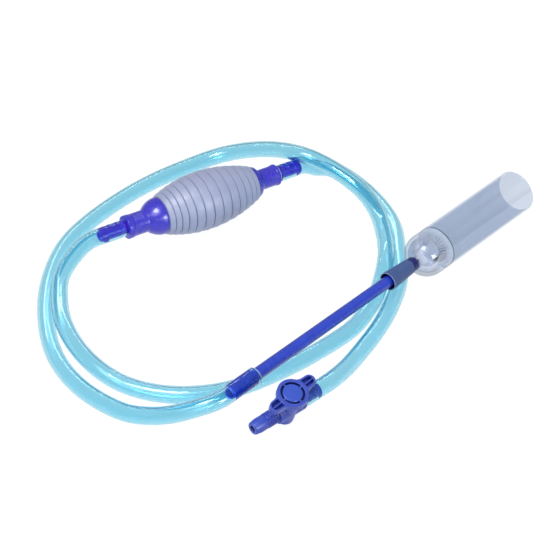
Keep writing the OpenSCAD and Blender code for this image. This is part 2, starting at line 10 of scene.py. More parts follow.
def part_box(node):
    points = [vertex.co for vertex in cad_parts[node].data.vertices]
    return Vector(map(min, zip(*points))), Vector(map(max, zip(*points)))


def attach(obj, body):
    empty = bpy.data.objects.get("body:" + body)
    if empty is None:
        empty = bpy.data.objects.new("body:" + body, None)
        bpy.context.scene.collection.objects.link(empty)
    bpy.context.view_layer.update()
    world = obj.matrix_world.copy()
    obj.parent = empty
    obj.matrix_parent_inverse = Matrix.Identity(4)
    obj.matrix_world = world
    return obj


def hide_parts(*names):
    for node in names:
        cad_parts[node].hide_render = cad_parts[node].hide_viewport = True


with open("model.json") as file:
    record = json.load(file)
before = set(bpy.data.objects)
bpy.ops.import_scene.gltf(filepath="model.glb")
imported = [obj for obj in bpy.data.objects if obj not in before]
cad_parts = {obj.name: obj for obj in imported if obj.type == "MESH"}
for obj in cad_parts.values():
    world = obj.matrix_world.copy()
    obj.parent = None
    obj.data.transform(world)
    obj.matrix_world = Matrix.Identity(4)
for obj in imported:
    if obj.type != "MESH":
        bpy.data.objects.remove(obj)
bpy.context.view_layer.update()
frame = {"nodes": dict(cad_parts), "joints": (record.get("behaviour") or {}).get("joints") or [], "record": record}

NODES = frame["nodes"]
RECORD = frame["record"]
JOINTS = {j["name"]: j for j in frame["joints"]}
MM = 0.001


# --- Frames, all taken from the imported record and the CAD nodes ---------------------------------
def middle(node):
    """The middle of a CAD node's box."""
    low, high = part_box(node)
    return (low + high) / 2


def axis_frame(origin, z, x=None):
    """A matrix whose local +Z runs along z, with millimetres as its unit."""
    z = Vector(z).normalized()
    x = Vector((0, 0, 1)) if x is None else Vector(x)
    x = (x - z * x.dot(z)).normalized()
    y = z.cross(x)
    turn = Matrix((x, y, z)).transposed().to_4x4()
    return Matrix.Translation(Vector(origin)) @ turn @ Matrix.Scale(MM, 4)


SWIVEL = JOINTS["head_swivel"]
WAND = axis_frame(SWIVEL["pos_m"], SWIVEL["axis"])
BULB_AXIS = Vector(JOINTS["inlet_lift"]["axis"])
INLET_GASKET_AT = -50.0    # where the inlet gasket lies along the bulb, from the bulb's middle
BULB = axis_frame(middle("inlet_gasket") - BULB_AXIS * INLET_GASKET_AT * MM, BULB_AXIS)
TURN = JOINTS["valve_turn"]
NOSE = next(m for m in RECORD["mounts"] if m["name"] == "outlet_nose")
FLOW = -Vector(NOSE["axis"])
VALVE = axis_frame(TURN["pos_m"], TURN["axis"], FLOW)
HANDLE = VALVE @ Matrix.Rotation(math.radians(-TURN["range_deg"][0]), 4, "Z")
ALONG_X = Matrix.Rotation(math.radians(90), 4, "Y")
BORE = VALVE @ ALONG_X
INTO_WAND = WAND.inverted()
INTO_BULB = BULB.inverted()


# --- Mesh helpers -------------------------------------------------------------------------------
def closed_mesh(name, verts, faces):
    """A mesh whose faces all look outwards."""
    mesh = bpy.data.meshes.new(name)
    mesh.from_pydata([tuple(v) for v in verts], [], faces)
    bm = bmesh.new()
    bm.from_mesh(mesh)
    bmesh.ops.recalc_face_normals(bm, faces=bm.faces)
    bm.to_mesh(mesh)
    bm.free()
    return mesh


def placed(name, mesh):
    """A new object in the scene that holds the mesh."""
    obj = bpy.data.objects.new(name, mesh)
    bpy.context.scene.collection.objects.link(obj)
    return obj


def released(obj):
    """The object's mesh; the object itself goes."""
    mesh = obj.data
    bpy.data.objects.remove(obj)
    return mesh


def finish_piece(name, mesh, material, body, smooth):
    """A piece of the part on its body. Edges that turn by more than smooth degrees stay sharp."""
    mesh.shade_smooth()
    mesh.set_sharp_from_angle(angle=math.radians(smooth))
    obj = placed(name, mesh)
    obj.data.materials.append(material)
    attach(obj, body)
    return obj


def piece(name, verts, faces, material, body, matrix=None, smooth=35):
    """A piece made from vertices and faces in the matrix's own frame."""
    mesh = closed_mesh(name, verts, faces)
    if matrix is not None:
        mesh.transform(matrix)
    return finish_piece(name, mesh, material, body, smooth)


def rounded(profile, radius, steps=4, least=12):
    """The closed profile with each corner off the axis replaced by a small arc."""
    out = []
    n = len(profile)
    for i, p in enumerate(profile):
        p = Vector(p)
        a, b = Vector(profile[i - 1]) - p, Vector(profile[(i + 1) % n]) - p
        if p.x < 1e-6 or a.length < 1e-6 or b.length < 1e-6:
            out.append(tuple(p))
            continue
        turn = math.degrees(math.pi - a.angle(b))
        if turn < least:
            out.append(tuple(p))
            continue
        reach = min(radius, 0.45 * a.length, 0.45 * b.length)
        s, e = p + a.normalized() * reach, p + b.normalized() * reach
        for k in range(steps + 1):
            t = k / steps
            out.append(tuple(s * (1 - t) ** 2 + p * 2 * t * (1 - t) + e * t ** 2))
    return out


def lathe_mesh(profile, segments):
    """Vertices and faces of a closed profile of (radius, position) turned about local Z."""
    verts, rows = [], []
    for r, z in profile:
        if r < 1e-6:
            rows.append([len(verts)])
            verts.append((0, 0, z))
        else:
            rows.append(list(range(len(verts), len(verts) + segments)))
            for k in range(segments):
                a = 2 * math.pi * k / segments
                verts.append((r * math.cos(a), r * math.sin(a), z))
    faces = []
    for i in range(len(rows)):
        a, b = rows[i - 1], rows[i]
        if len(a) == 1 and len(b) == 1:
            continue
        for k in range(segments):
            m = (k + 1) % segments
            if len(a) == 1:
                faces.append((a[0], b[k], b[m]))
            elif len(b) == 1:
                faces.append((a[k], a[m], b[0]))
            else:
                faces.append((a[k], a[m], b[m], b[k]))
    return verts, faces


def lathe(name, profile, matrix, material, body, segments=96, edge=0.3, node=None, smooth=35):
    """A turned piece with its corners rounded by edge; it stands in for the CAD node, if one is given."""
    verts, faces = lathe_mesh(rounded(profile, edge) if edge else profile, segments)
    obj = piece(name, verts, faces, material, body, matrix, smooth)
    if node:
        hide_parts(node)
    return obj


def solid(name, profile, segments=64, turn=None):
    """A turned helper object in its own millimetre space, for building compound shapes."""
    verts, faces = lathe_mesh(profile, segments)
    mesh = closed_mesh(name, verts, faces)
    if turn is not None:
        mesh.transform(turn)
    return placed(name, mesh)


def prism(name, outline, low, high, turn=None):
    """A helper object: the outline raised from low to high."""
    n = len(outline)
    verts = [(x, y, low) for x, y in outline] + [(x, y, high) for x, y in outline]
    faces = [tuple(range(n))[::-1], tuple(range(n, 2 * n))]
    faces += [(k, (k + 1) % n, n + (k + 1) % n, n + k) for k in range(n)]
    mesh = closed_mesh(name, verts, faces)
    if turn is not None:
        mesh.transform(turn)
    return placed(name, mesh)


def applied(obj):
    """The object's mesh with its modifiers applied; the object itself goes."""
    dg = bpy.context.evaluated_depsgraph_get()
    dg.update()
    mesh = bpy.data.meshes.new_from_object(obj.evaluated_get(dg), depsgraph=dg)
    bpy.data.objects.remove(obj)
    return mesh


def combine(base, others, operation):
    """The base joined with, or cut by, the other helper objects, which all go."""
    for o in others:
        m = base.modifiers.new(o.name, "BOOLEAN")
        m.object = o
        m.operation = operation
        m.solver = "EXACT"
    mesh = applied(base)
    for o in others:
        bpy.data.objects.remove(o)
    return placed("built", mesh)


def moulded(obj, voxel, rounds):
    """Remeshes a joined shape and softens it, so that its edges and inner corners are filleted."""
    m = obj.modifiers.new("voxels", "REMESH")
    m.mode = "VOXEL"
    m.voxel_size = voxel
    s = obj.modifiers.new("soften", "SMOOTH")
    s.factor = 0.5
    s.iterations = rounds
    return placed("moulded", applied(obj))


def shade(obj, amounts, domain="POINT", name="groove"):
    """Writes an attribute that the materials read: groove is a darker line of painted shade, fade is clearer
    plastic.
    """
    mark = obj.data.attributes.new(name, "FLOAT", domain)
    mark.data.foreach_set("value", amounts)


# --- Materials ----------------------------------------------------------------------------------
class Maker:
    """A short way to build a node tree."""

    def __init__(self, name):
        self.material = bpy.data.materials.new(name)
        self.material.use_nodes = True
        self.tree = self.material.node_tree
        self.tree.nodes.clear()
        self.out = self.add("ShaderNodeOutputMaterial")
        self.coords = self.add("ShaderNodeTexCoord").outputs["Object"]

    def add(self, kind, inputs=None, **settings):
        n = self.tree.nodes.new(kind)
        for k, v in settings.items():
            setattr(n, k, v)
        for k, v in (inputs or {}).items():
            self.set(n.inputs[k], v)
        return n

    def set(self, socket, value):
        if isinstance(value, bpy.types.NodeSocket):
            self.tree.links.new(value, socket)
        else:
            socket.default_value = value

    def noise(self, scale, detail=3):
        n = self.add("ShaderNodeTexNoise", {"Vector": self.coords, "Scale": scale, "Detail": detail,
                                            "Roughness": 0.55})
        return n.outputs["Fac"]

    def span(self, value, low, high, a=0.0, b=1.0):
        """value mapped from a..b to low..high."""
        return self.add("ShaderNodeMapRange", {"Value": value, "From Min": a, "From Max": b,
                                               "To Min": low, "To Max": high}).outputs[0]

    def mix(self, factor, a, b, blend="MIX"):
        n = self.add("ShaderNodeMix", data_type="RGBA", blend_type=blend)
        self.set(n.inputs[0], factor)
        self.set(n.inputs[6], a)
        self.set(n.inputs[7], b)
        return n.outputs[2]

    def bump(self, height, strength, distance):
        return self.add("ShaderNodeBump", {"Height": height, "Strength": strength,
                                           "Distance": distance}).outputs[0]

    def math(self, operation, a, b=0.5):
        n = self.add("ShaderNodeMath", operation=operation)
        self.set(n.inputs[0], a)
        self.set(n.inputs[1], b)
        return n.outputs[0]

    def done(self, shader, volume=None):
        self.tree.links.new(shader, self.out.inputs["Surface"])
        if volume is not None:
            self.tree.links.new(volume, self.out.inputs["Volume"])
        return self.material


def rgba(c):
    return (*c, 1.0)


def moulded_plastic(name, base, light, rough=0.32, grain=0.12, wear_and_edge_glint=0.25, coat=0.0, crease=0.003,
                    depth=0.45, limb=0.0):
    """Moulded plastic: slow colour drift, fine grain, paler worn edges, deeper colour in the creases.

    crease and depth are the reach and the strength of the painted shade in the creases; limb paints shade on what
    is seen edge on.
    """
    m = Maker(name)
    drift = m.noise(45, 2)
    fine = m.noise(900, 4)
    colour = m.mix(m.span(drift, 0.0, 0.55, 0.35, 0.7), rgba(base), rgba(light))
    # Paler edges: partly wear, partly a painted highlight where edges catch the light
    edge = m.add("ShaderNodeNewGeometry").outputs["Pointiness"]
    edge = m.span(edge, 0.0, wear_and_edge_glint, 0.52, 0.62)
    colour = m.mix(edge, colour, rgba([min(1.0, c * 1.25 + 0.10) for c in light]))
    # Painted shade: colour and reflection darken in creases and along lines marked groove, less so on faces that
    # look up
    open_air = m.add("ShaderNodeAmbientOcclusion", {"Distance": crease}, samples=6).outputs["AO"]
    shade = m.span(open_air, depth, 1.0, 0.25, 0.95)
    mark = m.add("ShaderNodeAttribute", attribute_name="groove").outputs["Fac"]
    up = m.add("ShaderNodeSeparateXYZ", {0: m.add("ShaderNodeNewGeometry").outputs["Normal"]}).outputs["Z"]
    mark = m.math("MULTIPLY", mark, m.span(up, 1.0, 0.3, 0.1, 0.85))
    shade = m.math("MULTIPLY", shade, m.span(mark, 1.0, 0.58))
    shadow = m.add("ShaderNodeCombineXYZ", {0: shade, 1: shade, 2: m.math("POWER", shade, 0.7)})
    colour = m.mix(1.0, colour, shadow.outputs[0], "MULTIPLY")
    # Painted shade on what is seen edge on
    edge_on = m.add("ShaderNodeLayerWeight", {"Blend": 0.5}).outputs["Facing"]
    edge_on = m.math("MULTIPLY", m.math("POWER", edge_on, 1.6), limb)
    colour = m.mix(edge_on, colour, rgba([c * 0.3 for c in base]))
    gloss = m.math("ADD", m.span(m.noise(160, 3), rough - 0.06, rough + 0.1, 0.3, 0.7),
                   m.span(fine, -0.03, 0.03))
    normal = m.bump(m.math("ADD", m.math("MULTIPLY", fine, 0.4), m.noise(260, 2)), grain, 0.0004)
    p = m.add("ShaderNodeBsdfPrincipled", {
        "Base Color": colour, "Roughness": gloss, "Normal": normal, "IOR": 1.48,
        "Coat Weight": coat, "Coat Roughness": 0.1, "Specular IOR Level": m.math("MULTIPLY", shade, 0.5)})
    return m.done(p.outputs[0])


def flexible_clear(name, tint, density, ior, rough, ripple, face):
    """Clear flexible plastic: bends light and deepens with the path through it; painted shade makes it deepest
    where seen face on, and it pales towards its edges.
    """
    m = Maker(name)
    wobble = m.noise(70, 2)
    fine = m.noise(700, 3)
    normal = m.bump(m.math("ADD", wobble, m.math("MULTIPLY", fine, 0.1)), ripple, 0.0006)
    gloss = m.span(m.noise(120, 3), rough, rough + 0.05, 0.45, 0.75)
    # Painted shade and light: the tint is deepest where the hose is seen face on and fades to white at its edges
    edge_on = m.add("ShaderNodeLayerWeight", {"Blend": 0.5}).outputs["Facing"]
    skin = m.mix(m.math("POWER", edge_on, 1.2), rgba(face), (1, 1, 1, 1))
    glass = m.add("ShaderNodeBsdfGlass", {"Color": skin, "Roughness": gloss, "IOR": ior, "Normal": normal})
    ghost = m.add("ShaderNodeBsdfTransparent", {"Color": (0.80, 0.93, 0.96, 1)})
    lamp = m.add("ShaderNodeLightPath").outputs["Is Shadow Ray"]
    both = m.add("ShaderNodeMixShader", {0: lamp, 1: glass.outputs[0], 2: ghost.outputs[0]})
    tone = m.mix(m.span(m.noise(25, 2), 0.0, 0.6, 0.35, 0.7), rgba(tint), rgba([c ** 1.12 for c in tint]))
    volume = m.add("ShaderNodeVolumeAbsorption", {"Color": tone, "Density": density})
    return m.done(both.outputs[0], volume.outputs[0])


def thin_clear(name, tint, outline, rough=0.03, ripple=0.1, gain=1.0, falloff=7.0):
    """Rigid clear plastic: each surface takes its share of the light, with a painted dark outline where it is seen
    edge on and painted shade along marked lines.
    """
    m = Maker(name)
    wobble = m.noise(40, 2)
    fine = m.noise(600, 3)
    normal = m.bump(m.math("ADD", wobble, m.math("MULTIPLY", fine, 0.1)), ripple, 0.0006)
    gloss = m.span(m.noise(120, 3), rough, rough + 0.05, 0.45, 0.75)
    facing = m.add("ShaderNodeLayerWeight", {"Blend": 0.5}).outputs["Facing"]
    # Painted shade: a dark outline where the surface is seen edge on, and along lines marked groove
    rim = m.span(m.math("POWER", facing, falloff), 0.0, outline)
    mark = m.add("ShaderNodeAttribute", attribute_name="groove").outputs["Fac"]
    rim = m.math("MAXIMUM", rim, mark)
    tone = m.mix(m.span(m.noise(18, 2), 0.0, 0.5, 0.35, 0.7), rgba(tint), rgba([c ** 1.15 for c in tint]))
    tone = m.mix(rim, tone, rgba([c * 0.35 for c in tint]))
    fade = m.add("ShaderNodeAttribute", attribute_name="fade").outputs["Fac"]
    tone = m.mix(fade, tone, (0.985, 0.985, 0.985, 1))
    clear = m.add("ShaderNodeBsdfTransparent", {"Color": tone})
    shine = m.add("ShaderNodeBsdfGlossy", {"Color": (1, 1, 1, 1), "Roughness": gloss, "Normal": normal})
    amount = m.add("ShaderNodeFresnel", {"IOR": 1.49, "Normal": normal}).outputs[0]
    amount = m.math("MINIMUM", m.math("MULTIPLY", amount, m.span(fade, gain, 0.0)), 0.6)
    lit = m.add("ShaderNodeMixShader", {0: amount, 1: clear.outputs[0], 2: shine.outputs[0]})
    return m.done(lit.outputs[0])


def turned_steel(name):
    """Bright steel with fine turning marks."""
    m = Maker(name)
    colour = m.mix(m.noise(300), rgba((0.5, 0.51, 0.53)), rgba((0.66, 0.67, 0.7)))
    p = m.add("ShaderNodeBsdfPrincipled", {
        "Base Color": colour, "Metallic": 1.0, "Roughness": m.span(m.noise(800), 0.25, 0.45),
        "Normal": m.bump(m.noise(1200), 0.15, 0.0002)})
    return m.done(p.outputs[0])


HOSE = flexible_clear("hose_pvc", (0.22, 0.74, 0.86), 105, 1.5, 0.07, 0.08, (0.74, 0.90, 0.945))
# Pale violet for the rings at the hoses' cut ends: painted highlight
CUT_END_GLINT = moulded_plastic("cut_end_glint", (0.60, 0.68, 0.93), (0.72, 0.78, 0.96), rough=0.5, crease=0.0005)
TUBE = thin_clear("smoky_tube", (0.79, 0.83, 0.892), 0.12, gain=0.15)
DOME = thin_clear("clear_dome", (0.852, 0.882, 0.942), 0.9, gain=0.5, falloff=4.5)
STRAINER = thin_clear("clear_strainer", (0.95, 0.955, 0.97), 0.15, rough=0.1, gain=0.15)
# limb: painted shade on the pipe's edges
PIPE = moulded_plastic("blue_pipe", (0.016, 0.058, 0.66), (0.030, 0.092, 0.84), rough=0.22, wear_and_edge_glint=0.08,
                       coat=0.3, limb=0.9)
# The sleeve's paler edges are mostly a painted highlight on its rim
SLEEVE = moulded_plastic("slate_sleeve", (0.046, 0.100, 0.30), (0.070, 0.14, 0.38), rough=0.5, grain=0.2,
                         wear_and_edge_glint=0.6)
# A paler slate for the ring at the sleeve's near end: painted highlight
SLEEVE_RIM_GLINT = moulded_plastic("sleeve_rim_glint", (0.20, 0.26, 0.48), (0.28, 0.34, 0.56), rough=0.5)
NAVY = moulded_plastic("navy_plastic", (0.006, 0.010, 0.13), (0.014, 0.022, 0.22), rough=0.25)
# Near black navy for dark pieces put in recesses and gaps: painted shade
SHADE_NAVY = moulded_plastic("shade_navy", (0.003, 0.004, 0.12), (0.006, 0.008, 0.18), rough=0.85)
BULB_SKIN = moulded_plastic("bulb_skin", (0.385, 0.43, 0.635), (0.465, 0.525, 0.74), rough=0.42, grain=0.25,
                            wear_and_edge_glint=0.3, depth=0.8)
# limb: painted shade on the edges
VIOLET = moulded_plastic("violet_plastic", (0.036, 0.028, 0.60), (0.062, 0.050, 0.75), rough=0.27,
                         coat=0.3, limb=0.3)
VALVE_BLUE = moulded_plastic("valve_blue", (0.040, 0.085, 0.56), (0.062, 0.12, 0.69), rough=0.36, grain=0.2)
# A paler violet for the grip bars: painted highlight on the ridges
VIOLET_RIDGE_GLINT = moulded_plastic("violet_ridge_glint", (0.16, 0.15, 0.80), (0.22, 0.21, 0.88), rough=0.3)
BARB_VIOLET = moulded_plastic("violet_barbs", (0.080, 0.010, 0.70), (0.12, 0.018, 0.82), rough=0.3)
# depth: deep painted shade in the pockets
HANDLE_BLUE = moulded_plastic("handle_blue", (0.036, 0.078, 0.54), (0.058, 0.115, 0.66), rough=0.36,
                              grain=0.2, depth=0.2)
CAP_BLUE = moulded_plastic("cap_blue", (0.034, 0.095, 0.61), (0.050, 0.13, 0.72), rough=0.3, grain=0.15)
BLACK = moulded_plastic("black_rubber", (0.012, 0.012, 0.014), (0.03, 0.03, 0.035), rough=0.6, grain=0.3)
WHITE = moulded_plastic("white_plastic", (0.78, 0.78, 0.80), (0.88, 0.88, 0.90), rough=0.4)
STEEL = turned_steel("screw_steel")

# The inside pieces are shown as the CAD has them
CAD_MATERIALS = {
    "inlet_gasket": BLACK, "inlet_valve_seat": BLACK, "inlet_poppet": WHITE, "inlet_poppet_guide": WHITE,
    "outlet_gasket": BLACK, "outlet_valve_seat": BLACK, "outlet_poppet": WHITE, "outlet_poppet_guide": WHITE,
    "valve_ball": WHITE, "ball_seats": WHITE, "valve_stem": VALVE_BLUE, "stem_seal": BLACK,
    "stem_bonnet": VALVE_BLUE, "handle_screw": STEEL,
}
for name, material in CAD_MATERIALS.items():
    NODES[name].data.materials.clear()
    NODES[name].data.materials.append(material)


# --- Hoses --------------------------------------------------------------------------------------
HOSE_R, BORE_R = 8.0 * MM, 6.0 * MM
RING_STEP, HOSE_SIDES = 2.5 * MM, 48
GRIP_REACH = 1.6 * MM


def ring_centres(node, point, way):
    """The centres of the CAD hose's rings, in order from the end that is cut across the line."""
    bm = bmesh.new()
    bm.from_mesh(NODES[node].data)
    bmesh.ops.remove_doubles(bm, verts=bm.verts, dist=2e-5)
    point, way = Vector(point), Vector(way).normalized()
    along = {}
    for v in bm.verts:
        d = v.co - point
        t = d.dot(way)
        if t > -0.1 * MM and (d - way * t).length < HOSE_R + MM:
            along[v] = t
    start = min(along.values())
    ring = {v for v, t in along.items() if t < start + 0.2 * MM}
    seen, centres = set(ring), []
    while ring:
        centres.append(sum((v.co for v in ring), Vector()) / len(ring))
        ring = {e.other_vert(v) for v in ring for e in v.link_edges} - seen
        seen |= ring
    bm.free()
    return [np.array(c) for c in centres]


def smooth_path(points, step):
    """A curve through the points whose first and last stretches are straight."""
    n = len(points)
    gap = [np.linalg.norm(points[i + 1] - points[i]) for i in range(n - 1)]
    tangents = []
    for i in range(n):
        if i <= 1:
            t = (points[1] - points[0]) / gap[0]
        elif i >= n - 2:
            t = (points[-1] - points[-2]) / gap[-1]
        else:
            t = ((points[i] - points[i - 1]) / gap[i - 1] * gap[i]
                 + (points[i + 1] - points[i]) / gap[i] * gap[i - 1]) / (gap[i] + gap[i - 1])
        tangents.append(t)
    path = []
    for i in range(n - 1):
        k = max(1, round(gap[i] / step))
        for j in range(k):
            t = j / k
            leaving, reaching = t ** 3 - 2 * t ** 2 + t, t ** 3 - t ** 2
            path.append((2 * t ** 3 - 3 * t ** 2 + 1) * points[i] + leaving * gap[i] * tangents[i]
                        + (3 * t ** 2 - 2 * t ** 3) * points[i + 1] + reaching * gap[i] * tangents[i + 1])
    path.append(points[-1])
    return np.array(path)


def sweep(name, path, outer, inner, sides, material, body):
    """A hollow tube along the path; outer and inner are its radii at each point of the path."""
    n = len(path)
    tangent = np.gradient(path, axis=0)
    tangent /= np.linalg.norm(tangent, axis=1)[:, None]
    side = np.cross(tangent[0], (0, 0, 1))
    side /= np.linalg.norm(side)
    verts = np.zeros((2, n, sides, 3))
    angle = np.arange(sides) * 2 * math.pi / sides
    for i in range(n):
        side = side - tangent[i] * side.dot(tangent[i])
        side /= np.linalg.norm(side)
        top = np.cross(side, tangent[i])
        round_it = np.cos(angle)[:, None] * side + np.sin(angle)[:, None] * top
        verts[0, i] = path[i] + outer[i] * round_it
        verts[1, i] = path[i] + inner[i] * round_it
    faces = []
    for layer in range(2):
        for i in range(n - 1):
            for k in range(sides):
                a = (layer * n + i) * sides
                b = a + sides
                m = (k + 1) % sides
                faces.append((a + k, a + m, b + m, b + k))
    for i in (0, n - 1):
        a, b = i * sides, (n + i) * sides
        for k in range(sides):
            m = (k + 1) % sides
            faces.append((a + k, a + m, b + m, b + k))
    return piece(name, verts.reshape(-1, 3), faces, material, body, smooth=60)


def hose(name, node, point, way, grips):
    """A hose along the CAD hose's middle line.

    grips are the bulges over the barbs' ridges: distance from an end, 1 for the far end, and height.
    """
    path = smooth_path(ring_centres(node, point, way), RING_STEP)
    s = np.r_[0, np.cumsum(np.linalg.norm(np.diff(path, axis=0), axis=1))]
    outer = np.full(len(path), HOSE_R)
    inner = np.full(len(path), BORE_R)
    for at, from_end, height in grips:
        centre = s[-1] - at * MM if from_end else at * MM
        swell = height * MM * np.exp(-((s - centre) / GRIP_REACH) ** 2)
        outer += swell
        inner += swell * 0.6
    obj = sweep(name, path, outer, inner, HOSE_SIDES, HOSE, "hose_line")
    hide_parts(node)
    return obj


HOSES = [
    hose("wand_hose_clear", "wand_hose", SWIVEL["pos_m"], -Vector(SWIVEL["axis"]),
         [(4.6, 1, 0.3), (11.7, 1, 0.3), (18.8, 1, 0.3), (1.2, 0, 0.2)]),
    hose("outlet_hose_clear", "outlet_hose", middle("outlet_gasket"), BULB_AXIS,
         [(4.0, 0, 0.3), (10.3, 0, 0.3), (16.8, 0, 0.3), (4.4, 1, 0.3), (9.4, 1, 0.3), (14.4, 1, 0.3)]),
]


# --- Wand ---------------------------------------------------------------------------------------
# Positions in millimetres along the wand, from the hose's cut end
PIPE_START, PIPE_END = -34, 198
SLEEVE_START, SLEEVE_END = 183, 214
NIPPLE_END = 221.0
TUBE_R, TUBE_IN, DOME_IN = 21.0, 19.5, 17.5
NECK_R, NECK_IN, NECK_BORE, NECK_DEPTH = 8, 6.65, 5.05, 4.5
NECK_AT = NIPPLE_END + 0.2
DOME_MIDDLE = NIPPLE_END + math.sqrt(TUBE_R ** 2 - NECK_R ** 2) + 0.2
DOME_RIM = DOME_MIDDLE + 15
MOUTH = DOME_RIM + 124
SPIGOT_R, SPIGOT_IN, SPIGOT_END = 19.45, 16.9, DOME_RIM + 12

# In the hose the pipe is drawn a little fat, so that hose and pipe touch with no air between them
lathe("pipe", [(4.3, PIPE_START), (5.15, PIPE_START), (6.05, PIPE_START + 1.5), (6.05, -0.6), (5.95, 0),
               (5.9, 2), (5.6, SLEEVE_START - 2), (5.6, PIPE_END - 0.8), (4.8, PIPE_END), (4.3, PIPE_END)],
      WAND, PIPE, "hose_line", 96, 0.3, "extension_pipe")
# The web inside the sleeve lies between the pipe's end and the nipple
lathe("sleeve", [(8.2, SLEEVE_START), (8.7, SLEEVE_START), (9.0, SLEEVE_START + 0.5), (8.25, 197.9),
                 (7.95, 198.5), (8.15, 199.1), (7.3, SLEEVE_END - 0.4), (6.9, SLEEVE_END), (5.45, SLEEVE_END),
                 (5.45, PIPE_END + 2.2), (4.3, PIPE_END + 2.2), (4.3, PIPE_END + 0.6), (5.65, PIPE_END + 0.6),
                 (5.65, SLEEVE_START + 6), (8.2, SLEEVE_START + 3)],
      WAND, SLEEVE, "head", 96, 0.35, "neck_sleeve")
# A near black lining in the sleeve's mouth, round the pipe: painted shade where the pipe enters
lathe("sleeve_mouth_shade", [(8.21, SLEEVE_START + 0.6), (8.21, SLEEVE_START + 2.95), (5.7, SLEEVE_START + 5.9),
                        (5.7, SLEEVE_START + 5.5), (7.9, SLEEVE_START + 2.8), (7.9, SLEEVE_START + 0.9)],
      WAND, SHADE_NAVY, "head", edge=0)
# A paler ring at the sleeve's near end: a painted highlight on its rim
lathe("sleeve_rim_glint", [(8.35, SLEEVE_START - 0.15), (8.8, SLEEVE_START - 0.15), (8.95, SLEEVE_START + 0.2),
                     (8.35, SLEEVE_START + 0.2)], WAND, SLEEVE_RIM_GLINT, "head", edge=0)
lathe("nipple", [(3.6, 201), (4.6, 201), (5.4, 204), (5, 204), (5.4, 207), (5, 207), (5, 214.2), (6.5, 214.2),
                 (6.8, 214.6), (6.8, NIPPLE_END - 0.5), (6.5, NIPPLE_END), (5, NIPPLE_END),
                 (5, NIPPLE_END + 3.6), (3.6, NIPPLE_END + 3.6)],
      WAND, NAVY, "head", 96, 0.4, "neck_nipple")


def dome_arc(radius, start, stop, steps=40):
    """Points on a circle about the dome's middle, from start to stop degrees before its rim."""
    return [(radius * math.cos(math.radians(start + (stop - start) * k / steps)),
             DOME_MIDDLE - radius * math.sin(math.radians(start + (stop - start) * k / steps)))
            for k in range(steps + 1)]


outside = dome_arc(TUBE_R, math.degrees(math.acos(NECK_R / TUBE_R)), 0)
inside = dome_arc(DOME_IN, 0, math.degrees(math.acos(NECK_IN / DOME_IN)))
dome = lathe("dome", [(NECK_BORE, NECK_AT), (NECK_R, NECK_AT)] + outside
             + [(TUBE_R, DOME_RIM - 0.4), (TUBE_R - 0.4, DOME_RIM), (SPIGOT_R, DOME_RIM),
                (SPIGOT_R, SPIGOT_END - 0.8), (SPIGOT_R - 0.5, SPIGOT_END), (SPIGOT_IN, SPIGOT_END),
                (SPIGOT_IN, DOME_RIM - 1), (DOME_IN, DOME_RIM - 1)] + inside
             + [(NECK_IN, NIPPLE_END + NECK_DEPTH), (NECK_BORE, NIPPLE_END + NECK_DEPTH)],
             WAND, DOME, "head", 160, 0.25, "tube_dome")
at = [INTO_WAND @ v.co for v in dome.data.vertices]
# The spigot inside the tube is all but invisible
shade(dome, [float(q.z > DOME_RIM - 1.5 and q.xy.length < SPIGOT_R + 0.25) for q in at], name="fade")
lathe("tube", [(TUBE_IN, DOME_RIM + 0.2), (TUBE_R - 0.3, DOME_RIM + 0.2), (TUBE_R, DOME_RIM + 0.5),
               (TUBE_R, MOUTH - 0.4), (TUBE_R - 0.4, MOUTH), (TUBE_IN, MOUTH)],
      WAND, TUBE, "tube", 160, 0.5, "gravel_tube")

# The seam where tube and dome meet is a dark line of painted shade, strongest on its near side
seam = lathe("rim_seam", [(20.5, DOME_RIM - 0.3), (21.03, DOME_RIM - 0.3), (21.03, DOME_RIM + 0.1),
                          (20.5, DOME_RIM + 0.1)], WAND, DOME, "head", 160, 0)
NEAR_SIDE = Vector((0.68, 0.73))
at = [INTO_WAND @ v.co for v in seam.data.vertices]
shade(seam, [0.1 + 0.8 * max(0.0, q.xy.normalized().dot(NEAR_SIDE)) for q in at])

SLOTS, SLOT_FROM, SLOT_TO, SLOT_HALF = 28, 7, 14.5, 0.3
STRAINER_SEAT = DOME_RIM - 3    # where the cone's rim rests
CONE_RISE, CONE_HUB, CONE_FOOT = 5, 4, 15.3


def strainer():
    """The slotted cone; the walls of its slots carry painted shade, strongest on their +Y side."""
    seat = STRAINER_SEAT
    cone = solid("cone", rounded([(0, seat - CONE_RISE), (CONE_HUB, seat - CONE_RISE), (CONE_FOOT, seat),
                                  (17.4, seat), (17.4, seat + 1.6), (14.9, seat + 1.6), (3.5, seat - 3.2),
                                  (0, seat - 3.2)], 0.8), 144)
    plan = [(SLOT_FROM, -SLOT_HALF), (SLOT_TO, -SLOT_HALF), (SLOT_TO, SLOT_HALF), (SLOT_FROM, SLOT_HALF)]
    slots = [prism("slot", plan, seat - 6, seat + 3, Matrix.Rotation(2 * math.pi * k / SLOTS, 4, "Z"))
             for k in range(SLOTS)]
    mesh = released(combine(cone, slots, "DIFFERENCE"))
    walls = []
    for q in mesh.polygons:
        out = q.center.xy.normalized()
        upright = abs(q.normal.z) < 0.1 and abs(q.normal.xy.dot(out)) < 0.5
        in_slot = SLOT_FROM + 0.3 < q.center.xy.length < SLOT_TO - 0.2
        # Painted shade on the slot walls, stronger towards +Y
        walls.append((upright and in_slot) * (0.1 + 0.3 * max(0.0, out.y)))
    mesh.transform(WAND)
    obj = finish_piece("strainer_cone", mesh, STRAINER, "head", 30)
    shade(obj, walls, "FACE")
    at = [(INTO_WAND @ v.co).xy.length for v in mesh.vertices]
    shade(obj, [float(not SLOT_FROM + 0.2 < r < SLOT_TO + 0.5) for r in at], name="fade")
    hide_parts("strainer")


